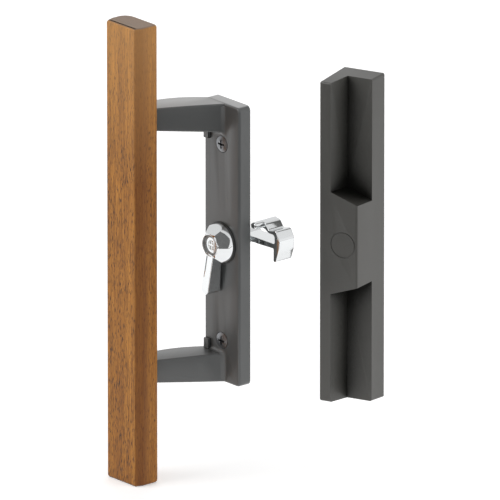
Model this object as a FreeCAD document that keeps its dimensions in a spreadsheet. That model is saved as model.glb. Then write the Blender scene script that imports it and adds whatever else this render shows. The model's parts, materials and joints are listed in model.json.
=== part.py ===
import FreeCAD, Part
import math
import os
import Sketcher

V = FreeCAD.Vector
# Flat strips that stand for the quarter circle of the cove round each arm's foot.
COVE_STEPS = 4

# Driving sizes in millimetres and degrees.
# The origin is on the thumb turn's axis at the face that lies on the door.
# +X points to the jamb, -Y to the person inside, +Z up.
SIZES = {
    # Escutcheon plate
    "plate_width": 26.0,
    "plate_height": 142.0,
    "plate_depth": 7.0,
    "plate_skin": 2.6,
    "plate_wall": 2.6,
    "plate_corner": 2.5,
    "plate_edge_round": 1.3,
    "boss_radius": 5.6,
    "hub_boss_radius": 9.6,
    # Through bolts
    "hole_centres": 100.0,
    "bolt_radius": 2.08,
    "bolt_neck_radius": 1.85,
    "bolt_thread_start": 0.3,
    "bolt_point": 0.8,
    "bolt_hole_radius": 2.4,
    "bolt_head_radius": 4.0,
    "bolt_head_cone": 2.3,
    "bolt_head_dome": 0.7,
    "bolt_reach": 8.5,
    "countersink_gap": 0.3,
    "recess_arm": 2.3,
    "recess_slot": 0.95,
    "recess_depth": 1.9,
    # Arms of the bracket
    "arm_root_left": -13.0,
    "arm_root_right": 2.3,
    "arm_root_height": 14.7,
    "arm_mid_reach": 19.5,
    "arm_mid_left": -25.5,
    "arm_mid_right": -9.7,
    "arm_mid_height": 12.7,
    "arm_end_left": -27.0,
    "arm_end_right": -16.5,
    "arm_end_height": 11.2,
    "upper_arm_drop": 0.4,
    "lower_arm_lift": 1.8,
    "arm_root_sink": 1.0,
    "arm_inset": 0.2,
    "arm_edge_round": 0.9,
    "arm_root_fillet": 1.8,
    "arm_root_bite": 0.05,
    "arm_root_lean": 0.62,
    "gate_pad_inset": 1.3,
    "gate_pad_width": 3.2,
    "gate_pad_height": 5.0,
    "gate_pad_proud": 1.6,
    # Wooden grip
    "grip_length": 232.7,
    "grip_drop": 1.15,
    "grip_centre": -20.45,
    "grip_reach": 32.5,
    "grip_depth": 14.0,
    "grip_front_width": 20.6,
    "grip_width": 23.9,
    "grip_flare": 4.0,
    "grip_finger_round": 6.0,
    "grip_back_round": 2.2,
    "grip_arris": 0.35,
    # Screws that hold the grip
    "grip_screw_across": -21.5,
    "grip_screw_inset": 7.2,
    "grip_screw_radius": 1.9,
    "grip_screw_head_radius": 3.9,
    "grip_screw_head_height": 2.4,
    "grip_screw_grip": 8.0,
    "grip_screw_bite": 10.0,
    "grip_screw_point": 3.0,
    "grip_screw_tip": 0.1,
    "grip_screw_gap": 0.2,
    # Thumb turn
    "turn_front_reach": 6.9,
    "turn_band_reach": 2.6,
    "turn_base_gap": 0.2,
    "turn_front_radius": 5.7,
    "turn_band_radius": 9.0,
    "turn_base_radius": 9.1,
    "turn_well_radius": 4.0,
    "turn_well_depth": 1.6,
    "turn_lean": 7.6,
    "lever_length": 25.4,
    "lever_width": 5.6,
    "lever_tip_round": 2.24,
    "lever_tip_bevel": 0.6,
    "lever_root_cover": 1.0,
    "lever_back_gap": 1.6,
    "lever_front_root": 6.6,
    "lever_front_tip": 7.8,
    "tenon_width": 5.0,
    "tenon_length": 4.0,
    "tenon_end_gap": 0.2,
    # Bushing
    "bushing_radius": 10.4,
    "bushing_flange": 0.8,
    "bushing_chamfer": 0.5,
    "bushing_back_gap": 0.3,
    "bushing_sleeve_radius": 7.4,
    "running_gap": 0.06,
    "seat_gap": 0.05,
    # Latch hook
    "hub_radius": 5.5,
    "hub_back": 17.0,
    "collar_radius": 8.2,
    "collar_front": 1.6,
    "hook_front": 5.5,
    "hook_width": 9.3,
    "hook_reach": 26.4,
    "hook_thickness": 2.0,
    "hook_tip": -6.4,
    "hook_top": 12.0,
    "hook_lip_end": 14.2,
    "hook_lip_depth": 3.5,
    "hook_tongue_front": 1.0,
    "hook_tongue_width": 3.0,
    "hook_arm_top": 2.5,
    "hook_arm_bottom": -0.9,
    # Screw in the thumb turn
    "turn_screw_radius": 1.7,
    "turn_screw_head_radius": 3.5,
    "turn_screw_head_height": 1.5,
    "turn_screw_length": 14.0,
    "turn_screw_point": 0.6,
    "screw_bore_gap": 0.15,
    # Wave washer
    "washer_radius": 8.0,
    "washer_thickness": 0.5,
    "washer_gap": 0.2,
    # Outside pull
    "pull_width": 22.2,
    "pull_depth": 22.3,
    "pull_height": 165.2,
    "pull_front_left": -1.8,
    "pull_front_right": 18.7,
    "pull_front_height": 162.4,
    "pull_base": 10.1,
    "pull_lip_root": 7.4,
    "pull_lip_tip": 4.3,
    "pull_recess_inner": 26.0,
    "pull_recess_outer": 19.0,
    "pull_edge_round": 1.0,
    "pull_knockout_across": 11.0,
    "knockout_radius": 6.6,
    "knockout_groove": 0.5,
    "knockout_depth": 0.3,
    "pull_core_wall": 2.6,
    "pull_core_depth": 7.4,
    "pull_boss_radius": 4.5,
    "pull_post_sink": 0.5,
    "pull_thread_radius": 1.75,
    "pull_thread_depth": 8.8,
    "pull_stand_across": 22.5,
    "pull_stand_behind": 51.0,
    "pull_turned": 22.6,
    # How far a cutting shape passes beyond the face that it opens
    "cut_overrun": 2.0,
}

doc = FreeCAD.newDocument("PatioHandle")
sheet = doc.addObject("Spreadsheet::Sheet", "Sizes")
for row, (alias, number) in enumerate(SIZES.items(), start=1):
    sheet.set("A%d" % row, alias)
    sheet.set("B%d" % row, str(number))
    sheet.setAlias("B%d" % row, alias)
doc.recompute()


def size(expression):
    """Value of an expression written with the sheet's names."""
    return float(sheet.evalExpression(expression))


def named(expression):
    """The same expression as another object reads it, with the sheet's name in front of each alias."""
    words = expression.split(" ")
    return " ".join("Sizes." + word if word in SIZES else word for word in words)


def plane(body, role):
    return [item for item in body.Origin.OriginFeatures if item.Role == role][0]


def sketch_on(body, name, role, lift="0"):
    """A sketch on one of the body's own origin planes, moved along its normal."""
    sketch = body.newObject("Sketcher::SketchObject", name)
    sketch.AttachmentSupport = (plane(body, role), [""])
    sketch.MapMode = "FlatFace"
    sketch.setExpression("AttachmentOffset.Base.z", named(lift))
    return sketch


def pin_point(sketch, geometry, point, across, up):
    """Hold one point of a sketch at two expressions measured from the sketch's origin."""
    for kind, expression in (("DistanceX", across), ("DistanceY", up)):
        index = sketch.addConstraint(Sketcher.Constraint(kind, -1, 1, geometry, point, size(expression)))
        sketch.setExpression("Constraints[%d]" % index, named(expression))


def outline(sketch, corners):
    """Closed outline: each corner is (across, up), and a third entry is the point its side bows through."""
    count = len(corners)
    places = [V(size(corner[0]), size(corner[1]), 0) for corner in corners]
    for index, corner in enumerate(corners):
        start = places[index]
        end = places[(index + 1) % count]
        if len(corner) == 2:
            sketch.addGeometry(Part.LineSegment(start, end))
            pin_point(sketch, index, 1, corner[0], corner[1])
        else:
            bow = V(size(corner[2][0]), size(corner[2][1]), 0)
            sketch.addGeometry(Part.Arc(start, bow, end))
    return sketch


def circle(sketch, across, up, radius):
    index = sketch.addGeometry(Part.Circle(V(size(across), size(up), 0), V(0, 0, 1), size(radius)))
    pin_point(sketch, index, 3, across, up)
    held = sketch.addConstraint(Sketcher.Constraint("Radius", index, size(radius)))
    sketch.setExpression("Constraints[%d]" % held, named(radius))
    return sketch


def rectangle(sketch, left, right, low, high):
    return outline(sketch, [(left, low), (right, low), (right, high), (left, high)])


def feature(body, kind, name, sketch, **numbers):
    item = body.newObject("PartDesign::" + kind, name)
    item.Profile = sketch
    for key, expression in numbers.items():
        item.setExpression(key, named(expression))
    return item


def round_edges(body, name, radius, wanted):
    """Fillet the edges of the body's tip whose middle point passes the test."""
    doc.recompute()
    base = body.Tip
    picked = []
    for index, edge in enumerate(base.Shape.Edges, start=1):
        middle = edge.valueAt((edge.FirstParameter + edge.LastParameter) / 2)
        if wanted(edge, middle):
            picked.append("Edge%d" % index)
    item = body.newObject("PartDesign::Fillet", name)
    item.Base = (base, picked)
    item.setExpression("Radius", named(radius))
    doc.recompute()
    return item


def tool(kind, name, turn=None, **numbers):
    """A primitive whose sizes and place are bound to the sheet, its axis turned to run along -Y."""
    item = doc.addObject("Part::" + kind, name)
    item.Placement = FreeCAD.Placement(V(0, 0, 0), turn or FreeCAD.Rotation(V(1, 0, 0), 90))
    for key, expression in numbers.items():
        path = {"x": "Placement.Base.x", "y": "Placement.Base.y", "z": "Placement.Base.z"}.get(key, key)
        item.setExpression(path, named(expression))
    return item


def cut(name, base, tools):
    item = doc.addObject("Part::Cut", name)
    if len(tools) == 1:
        item.Tool = tools[0]
    else:
        joined = doc.addObject("Part::MultiFuse", name + "Tools")
        joined.Shapes = tools
        item.Tool = joined
    item.Base = base
    return item


def bracket():
    """One zinc casting: a hollow-backed plate with two arms that sweep out to the grip."""
    body = doc.addObject("PartDesign::Body", "BracketCasting")
    plate = rectangle(body.newObject("Sketcher::SketchObject", "PlateOutline"), "0 - plate_width / 2",
                      "plate_width / 2", "0 - plate_height / 2", "plate_height / 2")
    plate.AttachmentSupport = (plane(body, "XZ_Plane"), [""])
    plate.MapMode = "FlatFace"
    feature(body, "Pad", "PlatePad", plate, Length="plate_depth")
    front = -size("plate_depth")
    half = size("plate_width") / 2
    round_edges(body, "PlateCorners", "plate_corner",
                lambda edge, middle: abs(middle.y - front / 2) < 0.01 and abs(abs(middle.x) - half) < 0.01)
    round_edges(body, "PlateFrontEdge", "plate_edge_round",
                lambda edge, middle: abs(middle.y - front) < 0.01)
    core = rectangle(sketch_on(body, "CoreOutline", "XZ_Plane"), "plate_wall - plate_width / 2",
                     "plate_width / 2 - plate_wall", "plate_wall - plate_height / 2",
                     "plate_height / 2 - plate_wall")
    hollow = feature(body, "Pocket", "BackHollow", core, Length="plate_depth - plate_skin")
    hollow.Reversed = True
    for name, up, radius in (("UpperBoss", "hole_centres / 2", "boss_radius"),
                             ("LowerBoss", "0 - hole_centres / 2", "boss_radius"),
                             ("HubBoss", "0", "hub_boss_radius")):
        ring = circle(sketch_on(body, name + "Circle", "XZ_Plane"), "0", up, radius)
        feature(body, "Pad", name, ring, Length="plate_depth - plate_skin / 2")
    for side, name in ((1, "Upper"), (-1, "Lower")):
        arm(body, name, side)
    doc.recompute()
    round_arms(body)
    for side, name in ((1, "Upper"), (-1, "Lower")):
        arm_root(body, name, side)
    tools = []
    for side, name in ((1, "Upper"), (-1, "Lower")):
        up = "%d * hole_centres / 2" % side
        across = "grip_screw_across"
        screw_up = "%d * plate_height / 2 - %d * grip_screw_inset" % (side, side)
        head_face = "0 - plate_depth - grip_reach + grip_screw_grip"
        tools.append(tool("Cylinder", name + "BoltHole", Radius="bolt_hole_radius", Height="plate_depth + 2",
                          y="1", z=up))
        tools.append(tool("Cone", name + "Countersink", Radius1="bolt_hole_radius",
                          Radius2="bolt_head_radius + countersink_gap", Height="bolt_head_cone",
                          y="bolt_head_cone - plate_depth", z=up))
        tools.append(tool("Cylinder", name + "GripHole", Radius="grip_screw_radius + grip_screw_gap",
                          Height="grip_screw_grip + 2", x=across, y=head_face + " + 1", z=screw_up))
        tools.append(tool("Cylinder", name + "GripCounterbore", Radius="grip_screw_head_radius + grip_screw_gap",
                          Height="grip_reach", x=across, y=head_face + " + grip_reach", z=screw_up))
    tools.append(tool("Cylinder", "BushingHole", Radius="bushing_sleeve_radius + seat_gap",
                      Height="plate_depth + 2", y="1"))
    return cut("Bracket", body, tools)


def arm(body, name, side):
    """A tapered arm lofted through three upright sections; from level with the plate's end it draws inwards."""
    drawn_in = "upper_arm_drop" if side > 0 else "lower_arm_lift"
    sections = (
        ("Root", "plate_depth - arm_root_sink", "arm_root_left + arm_inset", "arm_root_right",
         "arm_root_height", "0"),
        ("Middle", "plate_depth + arm_mid_reach", "arm_mid_left", "arm_mid_right", "arm_mid_height",
         "%s / 2" % drawn_in),
        ("End", "plate_depth + grip_reach", "arm_end_left", "arm_end_right", "arm_end_height", drawn_in))
    sketches = []
    for place, lift, left, right, height, inwards in sections:
        outer = "%d * plate_height / 2 - %d * arm_inset - %d * %s" % (side, side, side, inwards)
        inner = "%s - %d * %s" % (outer, side, height)
        low, high = (inner, outer) if side > 0 else (outer, inner)
        sketches.append(rectangle(sketch_on(body, name + place, "XZ_Plane", lift), left, right, low, high))
    loft = body.newObject("PartDesign::AdditiveLoft", name + "Arm")
    loft.Profile = sketches[0]
    loft.Sections = sketches[1:]
    doc.recompute()
    pad_outer = "%d * plate_height / 2 - %d * arm_root_height - %d * arm_inset" % (side, side, side)
    pad_inner = "%s - %d * gate_pad_height" % (pad_outer, side)
    low, high = (pad_inner, pad_outer) if side > 0 else (pad_outer, pad_inner)
    pad = rectangle(sketch_on(body, name + "GatePadOutline", "XZ_Plane", "plate_depth - arm_root_sink"),
                    "arm_root_left + gate_pad_inset",
                    "arm_root_left + gate_pad_inset + gate_pad_width", low, high)
    feature(body, "Pad", name + "GatePad", pad, Length="arm_root_sink + gate_pad_proud")
    return loft


def round_arms(body):
    """Soften the arms' long edges."""
    front = -size("plate_depth")
    grip_face = -size("plate_depth + grip_reach")
    round_edges(body, "ArmEdges", "arm_edge_round",
                lambda edge, middle: grip_face + 1 < middle.y < front - 2 and edge.Length > 5)


def arm_root(body, name, side):
    """A cove of quarter-circle section round an arm's foot, from its gate pad to its outer end."""
    bulge = size("1 - sqrt(0.5)")
    left = "arm_root_left + gate_pad_inset + gate_pad_width / 2"
    outer = "%d * ( plate_height / 2 - plate_edge_round )" % side
    turns = [0, 0] + [90 * step / COVE_STEPS for step in range(1, COVE_STEPS + 1)]
    sections = []
    for step, turn in enumerate(turns):
        rise = 1 - math.cos(math.radians(turn))
        spread = "( %.5f * arm_root_fillet - arm_root_bite )" % (1 - math.sin(math.radians(turn)))
        lift = "plate_depth + %.5f * arm_root_fillet" % rise if step else "plate_depth - arm_root_sink"
        lean_back = "arm_root_lean * ( arm_root_sink + %.5f * arm_root_fillet )" % rise
        right = "arm_root_right - %s + %s" % (lean_back, spread)
        low = "plate_height / 2 - arm_inset - arm_root_height - %s" % spread
        rounding = "( arm_edge_round + %s )" % spread
        inner = "%d * ( %s )" % (side, low)
        sections.append(outline(sketch_on(body, "%sRoot%d" % (name, step), "XZ_Plane", lift), [
            (left, inner),
            ("%s - %s" % (right, rounding), inner,
             ("%s - %.5f * %s" % (right, bulge, rounding),
              "%d * ( %s + %.5f * %s )" % (side, low, bulge, rounding))),
            (right, "%d * ( %s + %s )" % (side, low, rounding)),
            (right, outer),
            (left, outer)]))
    cove = body.newObject("PartDesign::AdditiveLoft", name + "Cove")
    cove.Profile = sections[0]
    cove.Sections = sections[1:]
    cove.Ruled = True
    return cove


def grip():
    """A hardwood bar: flat front, sides that flare behind it, and a well rounded back where fingers curl round."""
    body = doc.addObject("PartDesign::Body", "GripBar")
    front = "0 - plate_depth - grip_reach - grip_depth"
    back = "0 - plate_depth - grip_reach"
    left, right = "grip_centre - ", "grip_centre + "
    flare_end = front + " + grip_flare"
    finger_side = left + "grip_width / 2"
    palm_side = right + "grip_width / 2"
    bulge = size("1 - sqrt(0.5)")
    sketch = sketch_on(body, "GripSection", "XY_Plane")
    outline(sketch, [
        (left + "grip_front_width / 2", front),
        (right + "grip_front_width / 2", front),
        (palm_side, flare_end),
        (palm_side, back + " - grip_back_round",
         (palm_side + " - %.6f * grip_back_round" % bulge, back + " - %.6f * grip_back_round" % bulge)),
        (palm_side + " - grip_back_round", back),
        (finger_side + " + grip_finger_round", back,
         (finger_side + " + %.6f * grip_finger_round" % bulge, back + " - %.6f * grip_finger_round" % bulge)),
        (finger_side, back + " - grip_finger_round"),
        (finger_side, flare_end),
    ])
    bar = feature(body, "Pad", "GripPad", sketch, Length="grip_length")
    bar.Midplane = True
    front_face = size(front)
    half = size("grip_front_width / 2")
    centre = size("grip_centre")
    round_edges(body, "GripArrises", "grip_arris",
                lambda edge, middle: abs(middle.y - front_face) < 0.01 and abs(abs(middle.x - centre) - half) < 0.01)
    body.setExpression("Placement.Base.z", named("0 - grip_drop"))
    tools = []
    for side, name in ((1, "Upper"), (-1, "Lower")):
        tools.append(tool("Cylinder", name + "Pilot", Radius="grip_screw_radius + seat_gap",
                          Height="grip_screw_bite + 1", x="grip_screw_across", y=back,
                          z="%d * plate_height / 2 - %d * grip_screw_inset" % (side, side)))
    return cut("Grip", body, tools)


def turned_screw(name, corners, recess_top, x, y, z, faces_user=True):
    """A screw revolved about its own axis, head upwards, with a cross recess sunk in the head."""
    body = doc.addObject("PartDesign::Body", name)
    profile = outline(sketch_on(body, name + "Profile", "XZ_Plane"), corners)
    turn = body.newObject("PartDesign::Revolution", name + "Turned")
    turn.Profile = profile
    turn.ReferenceAxis = (profile, ["V_Axis"])
    turn.Angle = 360
    arm_out, slot = "recess_arm", "recess_slot / 2"
    cross = sketch_on(body, name + "Cross", "XY_Plane", recess_top)
    outline(cross, [("0 - " + arm_out, "0 - " + slot), ("0 - " + slot, "0 - " + slot),
                    ("0 - " + slot, "0 - " + arm_out), (slot, "0 - " + arm_out), (slot, "0 - " + slot),
                    (arm_out, "0 - " + slot), (arm_out, slot), (slot, slot), (slot, arm_out),
                    ("0 - " + slot, arm_out), ("0 - " + slot, slot), ("0 - " + arm_out, slot)])
    feature(body, "Pocket", name + "Recess", cross, Length="recess_depth")
    body.Placement = FreeCAD.Placement(V(0, 0, 0), FreeCAD.Rotation(V(1, 0, 0), 90 if faces_user else -90))
    for axis, expression in (("x", x), ("y", y), ("z", z)):
        body.setExpression("Placement.Base." + axis, named(expression))
    return body


def bolt(name, side):
    """Oval-head machine screw that passes through the door, seated in the plate's countersink."""
    corners = [("0", "bolt_head_dome"), ("bolt_head_radius * 0.55", "bolt_head_dome * 0.72"),
               ("bolt_head_radius", "0"), ("bolt_neck_radius", "0 - bolt_head_cone"),
               ("bolt_neck_radius", "0 - plate_depth - bolt_thread_start"),
               ("bolt_radius", "0 - plate_depth - bolt_thread_start"),
               ("bolt_radius", "0 - plate_depth - bolt_reach + bolt_point"),
               ("bolt_radius - bolt_point", "0 - plate_depth - bolt_reach"),
               ("0", "0 - plate_depth - bolt_reach")]
    return turned_screw(name, corners, "bolt_head_dome", "0", "0 - plate_depth",
                        "%d * hole_centres / 2" % side)


def grip_screw(name, side):
    """Pan-head wood screw driven from the door side, through the arm's end into the grip."""
    corners = [("0", "grip_screw_head_height"), ("grip_screw_head_radius * 0.7", "grip_screw_head_height"),
               ("grip_screw_head_radius", "grip_screw_head_height * 0.55"),
               ("grip_screw_head_radius", "seat_gap"), ("grip_screw_radius", "seat_gap"),
               ("grip_screw_radius", "grip_screw_point - grip_screw_grip - grip_screw_bite"),
               ("grip_screw_tip", "0 - grip_screw_grip - grip_screw_bite"),
               ("0", "0 - grip_screw_grip - grip_screw_bite")]
    return turned_screw(name, corners, "grip_screw_head_height", "grip_screw_across",
                        "0 - plate_depth - grip_reach + grip_screw_grip",
                        "%d * plate_height / 2 - %d * grip_screw_inset" % (side, side), faces_user=False)


def ring(name, corners):
    """A ring revolved about the thumb turn's axis; corners are (radius, distance in front of the door face)."""
    body = doc.addObject("PartDesign::Body", name)
    profile = outline(sketch_on(body, name + "Profile", "XZ_Plane"), corners)
    turn = body.newObject("PartDesign::Revolution", name + "Turned")
    turn.Profile = profile
    turn.ReferenceAxis = (profile, ["V_Axis"])
    turn.Angle = 360
    body.Placement = FreeCAD.Placement(V(0, 0, 0), FreeCAD.Rotation(V(1, 0, 0), 90))
    return body


def bushing():
    """Flanged bush that lines the plate's centre hole."""
    bore = "hub_radius + running_gap"
    return ring("TurnBushing", [
        (bore, "bushing_back_gap"),
        ("bushing_sleeve_radius", "bushing_back_gap"),
        ("bushing_sleeve_radius", "plate_depth + seat_gap"),
        ("bushing_radius", "plate_depth + seat_gap"),
        ("bushing_radius", "plate_depth + bushing_flange * 0.7"),
        ("bushing_radius - bushing_chamfer", "plate_depth + bushing_flange"),
        (bore, "plate_depth + bushing_flange")])


def wave_washer():
    """Thin coned spring washer that stiffens the turn, between the bushing and the hook's collar."""
    bore = "hub_radius + washer_gap"
    return ring("SpringWasher", [
        (bore, "seat_gap - collar_front"), ("washer_radius", "0 - seat_gap - washer_thickness"),
        ("washer_radius", "0 - seat_gap"), (bore, "seat_gap - collar_front + washer_thickness"),
    ])


def octagon(radius):
    return ["%s * %.6f" % (radius, value) for value in (1, math.sqrt(0.5))]


def flared_octagon(name, sections):
    """Ruled loft through octagons; each section is (distance in front of the door face, corner radius)."""
    body = doc.addObject("PartDesign::Body", name)
    sketches = []
    for index, (lift, radius) in enumerate(sections):
        full, part = octagon(radius)
        sketches.append(outline(sketch_on(body, "%s%d" % (name, index), "XZ_Plane", lift), [
            (full, "0"), (part, part), ("0", full), ("0 - " + part, part), ("0 - " + full, "0"),
            ("0 - " + part, "0 - " + part), ("0", "0 - " + full), (part, "0 - " + part)]))
    loft = body.newObject("PartDesign::AdditiveLoft", name + "Loft")
    loft.Profile = sketches[0]
    loft.Sections = sketches[1:]
    loft.Ruled = True
    return body


def thumb_turn():
    """Chromed casting: an eight-sided flared knob with a blade lever and a square tenon behind."""
    body = flared_octagon("ThumbTurnCasting", [
        ("plate_depth + bushing_flange + turn_base_gap", "turn_base_radius"),
        ("plate_depth + turn_band_reach", "turn_band_radius"),
        ("plate_depth + turn_front_reach", "turn_front_radius")])
    front = "0 - plate_depth - "
    side = outline(sketch_on(body, "LeverSide", "YZ_Plane", "0 - lever_width / 2"), [
        (front + "lever_back_gap", "lever_root_cover - turn_front_radius"),
        (front + "lever_back_gap", "0 - lever_length"),
        (front + "lever_front_tip + lever_tip_bevel", "0 - lever_length"),
        (front + "lever_front_tip", "lever_tip_bevel - lever_length"),
        (front + "lever_front_root", "lever_root_cover - turn_front_radius")])
    feature(body, "Pad", "LeverBlade", side, Length="lever_width")
    doc.recompute()
    low = -size("lever_length")
    half = size("lever_width / 2")
    round_edges(body, "LeverTip", "lever_tip_round",
                lambda edge, middle: middle.z < low + 1.2 and abs(abs(middle.x) - half) < 0.01
                and abs(edge.tangentAt(edge.FirstParameter).y) > 0.9)
    tenon = rectangle(sketch_on(body, "TenonOutline", "XZ_Plane", "plate_depth + bushing_flange - tenon_length"),
                      "0 - tenon_width / 2", "tenon_width / 2", "0 - tenon_width / 2", "tenon_width / 2")
    feature(body, "Pad", "Tenon", tenon, Length="tenon_length + 1")
    well = circle(sketch_on(body, "ScrewWell", "XZ_Plane", "plate_depth + turn_front_reach"), "0", "0",
                  "turn_well_radius")
    feature(body, "Pocket", "ScrewWellCut", well, Length="turn_well_depth")
    bore = circle(sketch_on(body, "ScrewBore", "XZ_Plane", "plate_depth + turn_front_reach"), "0", "0",
                  "turn_screw_radius + screw_bore_gap")
    feature(body, "Pocket", "ScrewBoreCut", bore, Length="plate_depth * 3")
    lean(body)
    return body


def lean(item):
    """The lever hangs a little off plumb, and the hook turns with it."""
    item.Placement = FreeCAD.Placement(V(0, 0, 0), FreeCAD.Rotation(V(0, 1, 0), size("turn_lean")))


def turn_screw():
    corners = [("0", "turn_screw_head_height"), ("turn_screw_head_radius * 0.6", "turn_screw_head_height"),
               ("turn_screw_head_radius", "turn_screw_head_height * 0.5"), ("turn_screw_head_radius", "seat_gap"),
               ("turn_screw_radius", "seat_gap"), ("turn_screw_radius", "turn_screw_point - turn_screw_length"),
               ("turn_screw_radius - turn_screw_point", "0 - turn_screw_length"), ("0", "0 - turn_screw_length")]
    return turned_screw("TurnScrew", corners, "turn_screw_head_height", "0",
                        "turn_well_depth - plate_depth - turn_front_reach", "0")


def latch_hook():
    """Chromed casting: a round hub with a collar, a tapered arm and a wide blade that curls over at its top."""
    body = doc.addObject("PartDesign::Body", "LatchHookCasting")
    nose = "plate_depth + bushing_flange - seat_gap"
    for name, radius, lift, length in (
            ("Hub", "hub_radius", "0 - hub_back", nose + " + hub_back"),
            ("Collar", "collar_radius", "0 - hook_front - hook_width", "hook_front + hook_width - collar_front")):
        round_part = circle(sketch_on(body, name + "Circle", "XZ_Plane", lift), "0", "0", radius)
        feature(body, "Pad", name, round_part, Length=length)
    inner = "hook_reach - hook_thickness"
    under = "hook_top - hook_lip_depth"
    blade = outline(sketch_on(body, "BladeOutline", "XZ_Plane", "0 - hook_front - hook_width"), [
        ("0", "hook_arm_bottom"), (inner + " - 0.8", "hook_arm_bottom + 0.9"),
        (inner + " - 0.8", "hook_tip + 0.6"),
        (inner + " + 0.3", "hook_tip"),
        ("hook_reach - 0.6", "hook_tip + 1.2", ("hook_reach", "hook_arm_top - 1")),
        ("hook_reach - 0.6", "hook_top - 3.2", ("hook_reach - 1.1", "hook_top - 2.1")),
        ("hook_reach - 2.8", "hook_top - 1.5"),
        ("hook_lip_end + 3.8", "hook_top - 0.4", ("hook_lip_end + 2.4", "hook_top")),
        ("hook_lip_end + 1", "hook_top - 0.2"),
        ("hook_lip_end", "hook_top - 1.2"),
        ("hook_lip_end + 0.6", under),
        ("hook_reach - 5", under + " + 0.2", (inner + " - 0.9", under + " - 1")),
        (inner, "hook_arm_top + 0.6"),
        (inner + " - 0.7", "hook_arm_top"),
        ("0", "hook_arm_top")])
    feature(body, "Pad", "Blade", blade, Length="hook_width")
    tongue = outline(sketch_on(body, "TongueOutline", "XZ_Plane", "0 - hook_front - hook_width / 2"), [
        ("hook_lip_end", "hook_top - 1.2"), ("hook_lip_end + 0.6", under),
        ("hook_lip_end + hook_tongue_width", under), ("hook_lip_end + hook_tongue_width", "hook_top - 0.2"),
        ("hook_lip_end + 1", "hook_top - 0.2")])
    feature(body, "Pad", "Tongue", tongue, Length="hook_width / 2 + hook_front - hook_tongue_front")
    across, half = "0 - tenon_width / 2 - seat_gap", "tenon_width / 2 + seat_gap"
    leaning = sketch_on(body, "SocketOutline", "XZ_Plane", nose)
    leaning.AttachmentOffset = FreeCAD.Placement(V(0, 0, 0), FreeCAD.Rotation(V(0, 0, 1), -size("turn_lean")))
    socket = rectangle(leaning, across, half, across, half)
    feature(body, "Pocket", "Socket", socket, Length="tenon_length + tenon_end_gap")
    thread = circle(sketch_on(body, "HubThreadCircle", "XZ_Plane", nose), "0", "0", "turn_screw_radius")
    feature(body, "Pocket", "HubThread", thread, Length="turn_screw_length")
    return body


def pull():
    """Outside pull: a drafted bar whose upper and lower thirds are cut to an L, open at the ends, hollow behind."""
    body = doc.addObject("PartDesign::Body", "PullCasting")
    back_face = rectangle(sketch_on(body, "BackFace", "XZ_Plane"), "0", "pull_width", "0 - pull_height / 2",
                          "pull_height / 2")
    front_face = rectangle(sketch_on(body, "FrontFace", "XZ_Plane", "pull_depth"), "pull_front_left",
                           "pull_front_right", "0 - pull_front_height / 2", "pull_front_height / 2")
    bar = body.newObject("PartDesign::AdditiveLoft", "DraftedBar")
    bar.Profile = back_face
    bar.Sections = [front_face]
    round_edges(body, "OuterEdges", "pull_edge_round", lambda edge, middle: middle.y < -0.01)
    for side, name in ((1, "Upper"), (-1, "Lower")):
        sections = []
        for place, lift, lip in (("Floor", "pull_base", "pull_lip_root"), ("Mouth", "pull_depth", "pull_lip_tip")):
            sections.append(outline(sketch_on(body, name + place, "XZ_Plane", lift), [
                (lip, "%d * pull_recess_inner" % side),
                ("pull_width + cut_overrun", "%d * pull_recess_outer" % side),
                ("pull_width + cut_overrun", "%d * ( pull_height / 2 + cut_overrun )" % side),
                (lip, "%d * ( pull_height / 2 + cut_overrun )" % side)]))
        hollow = body.newObject("PartDesign::SubtractiveLoft", name + "Recess")
        hollow.Profile = sections[0]
        hollow.Sections = sections[1:]
    back = rectangle(sketch_on(body, "BackCoreOutline", "XZ_Plane"), "pull_core_wall",
                     "pull_width - pull_core_wall", "pull_core_wall - pull_height / 2",
                     "pull_height / 2 - pull_core_wall")
    core = feature(body, "Pocket", "BackCore", back, Length="pull_core_depth")
    core.Reversed = True
    for side, name in ((1, "UpperPost"), (-1, "LowerPost")):
        up = "%d * hole_centres / 2" % side
        post = circle(sketch_on(body, name + "Circle", "XZ_Plane"), "pull_width / 2", up, "pull_boss_radius")
        feature(body, "Pad", name, post, Length="pull_core_depth + pull_post_sink")
        thread = circle(sketch_on(body, name + "ThreadCircle", "XZ_Plane"), "pull_width / 2", up,
                        "pull_thread_radius")
        hole = feature(body, "Pocket", name + "Thread", thread, Length="pull_thread_depth")
        hole.Reversed = True
    mark = sketch_on(body, "KnockoutRing", "XZ_Plane", "pull_depth")
    circle(mark, "pull_knockout_across", "0", "knockout_radius")
    circle(mark, "pull_knockout_across", "0", "knockout_radius - knockout_groove")
    feature(body, "Pocket", "KnockoutGroove", mark, Length="knockout_depth")
    body.Placement = FreeCAD.Placement(V(0, 0, 0), FreeCAD.Rotation(V(0, 0, 1), size("pull_turned")))
    body.setExpression("Placement.Base.x", named("pull_stand_across"))
    body.setExpression("Placement.Base.y", named("pull_stand_behind"))
    return body


def main():
    nodes = {
        "bracket": bracket(),
        "grip_bar": grip(),
        "grip_screw_upper": grip_screw("GripScrewUpper", 1),
        "grip_screw_lower": grip_screw("GripScrewLower", -1),
        "through_bolt_upper": bolt("ThroughBoltUpper", 1),
        "through_bolt_lower": bolt("ThroughBoltLower", -1),
        "turn_bushing": bushing(),
        "spring_washer": wave_washer(),
        "thumb_turn": thumb_turn(),
        "turn_screw": turn_screw(),
        "latch_hook": latch_hook(),
        "outside_pull": pull(),
    }
    doc.recompute()
    for item in doc.Objects:
        if {"Invalid", "Error"} & set(item.State):
            raise RuntimeError("%s did not compute: %s" % (item.Name, item.State))
    for name, item in nodes.items():
        item.Label = name
        if item.Shape.isNull() or not item.Shape.isValid():
            raise RuntimeError("%s has no valid shape" % name)
    os.makedirs("parts", exist_ok=True)
    for name, item in nodes.items():
        item.Shape.exportStep("parts/%s.step" % name)
        print(name, "solids", len(item.Shape.Solids), "volume", round(item.Shape.Volume, 1))


main()
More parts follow.
